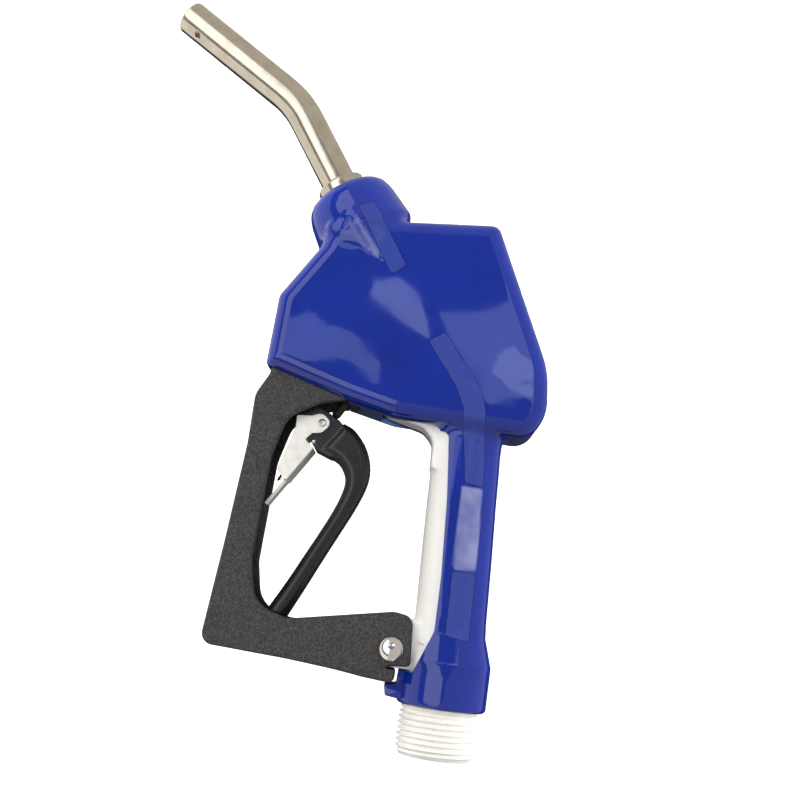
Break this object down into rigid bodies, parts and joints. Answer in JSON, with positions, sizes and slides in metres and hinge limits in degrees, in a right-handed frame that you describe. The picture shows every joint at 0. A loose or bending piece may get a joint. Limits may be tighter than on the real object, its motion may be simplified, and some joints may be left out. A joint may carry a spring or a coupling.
{
  "type": "fuel nozzle",
  "caption": "Hand-held automatic dispensing nozzle: bent metal spout, soft dipped cover over casing and handle, hand guard, squeeze lever with hold-open latch, threaded hose inlet.",
  "frame": {"origin": "centre of the hose inlet's end face, on the thread axis", "axes": "+Z along the inlet axis from the hose up into the handle, spout leaning towards -X, +Y is the thin direction, symmetry plane y = 0"},
  "size_m": [0.1915, 0.0448, 0.3238],
  "materials": {
    "blue_cover": "dipped soft vinyl, glossy",
    "white_body": "moulded, satin",
    "black_rubber": "matte",
    "stainless_steel": "drawn tube, fine satin",
    "brass": "turned",
    "spring_steel": "drawn wire",
    "guard_black": "fine leather grain",
    "lever_black": "satin",
    "stamped_steel": "stamped sheet, plated",
    "bright_rivet": "polished",
    "black_spring": "black wire"
  },
  "bodies": {
    "nozzle": {"valve_body": "white_body", "cover": "blue_cover", "inlet_adapter": "white_body", "inlet_seal": "black_rubber", "inlet_strainer": "stainless_steel", "spout_tube": "stainless_steel", "spout_flange": "stainless_steel", "spout_adapter": "brass", "sensing_tube": "stainless_steel", "spout_seal": "black_rubber", "check_seat": "brass", "check_spring": "spring_steel", "packing_nut": "brass", "seat_ring": "brass", "main_spring": "spring_steel", "valve_cap": "white_body", "cap_seal": "black_rubber", "trip_bushing": "brass", "trip_spring": "spring_steel", "diaphragm_spring": "spring_steel", "diaphragm_cap": "white_body", "hand_guard": "guard_black", "guard_rivet": "bright_rivet", "latch_rack": "stamped_steel"},
    "trip": {"trip_stem": "stainless_steel", "lever_pin": "stainless_steel"},
    "lever": {"lever": "lever_black", "latch_pin": "bright_rivet", "stop_pin": "bright_rivet"},
    "latch": {"hold_latch": "stamped_steel", "latch_spring": "black_spring"},
    "main_valve": {"valve_stem": "stainless_steel", "poppet_seal": "black_rubber", "valve_poppet": "white_body"},
    "check_valve": {"check_poppet": "white_body"},
    "detent": {"detent_pin": "stainless_steel", "diaphragm": "black_rubber"}
  },
  "joints": [
    {"name": "trip_stem_drop", "type": "slide", "parent": "nozzle", "child": "trip", "axis": [-0.4848, 0, -0.8746], "range_m": [0, 0.0036], "stiffness_N_per_m": 400, "springref_m": -0.008, "deforming": ["trip_spring"]},
    {"name": "lever_pull", "type": "hinge", "parent": "trip", "child": "lever", "pos_m": [-0.08353, 0, 0.14466], "axis": [0, -1, 0], "range_deg": [0, 13], "stiffness_Nm_per_rad": 0.6, "springref_deg": -20.05},
    {"name": "latch_swing", "type": "hinge", "parent": "lever", "child": "latch", "pos_m": [-0.0662, 0, 0.1317], "axis": [0, 1, 0], "range_deg": [0, 4], "stiffness_Nm_per_rad": 0.02, "springref_deg": -17.19},
    {"name": "main_valve_lift", "type": "slide", "parent": "nozzle", "child": "main_valve", "axis": [0.4848, 0, 0.8746], "range_m": [0, 0.0057], "deforming": ["main_spring"]},
    {"name": "check_valve_lift", "type": "slide", "parent": "nozzle", "child": "check_valve", "axis": [-0.5635, 0, 0.8261], "range_m": [0, 0.003], "stiffness_N_per_m": 100, "springref_m": -0.003, "deforming": ["check_spring"]},
    {"name": "detent_release", "type": "slide", "parent": "nozzle", "child": "detent", "axis": [-0.8746, 0, 0.4848], "range_m": [0, 0.0019], "deforming": ["diaphragm_spring"]}
  ],
  "couplings": [
    {"joint": "main_valve_lift", "follows": "lever_pull", "m_per_rad": 0.0246},
    {"joint": "detent_release", "follows": "trip_stem_drop", "ratio": 0.5}
  ]
}
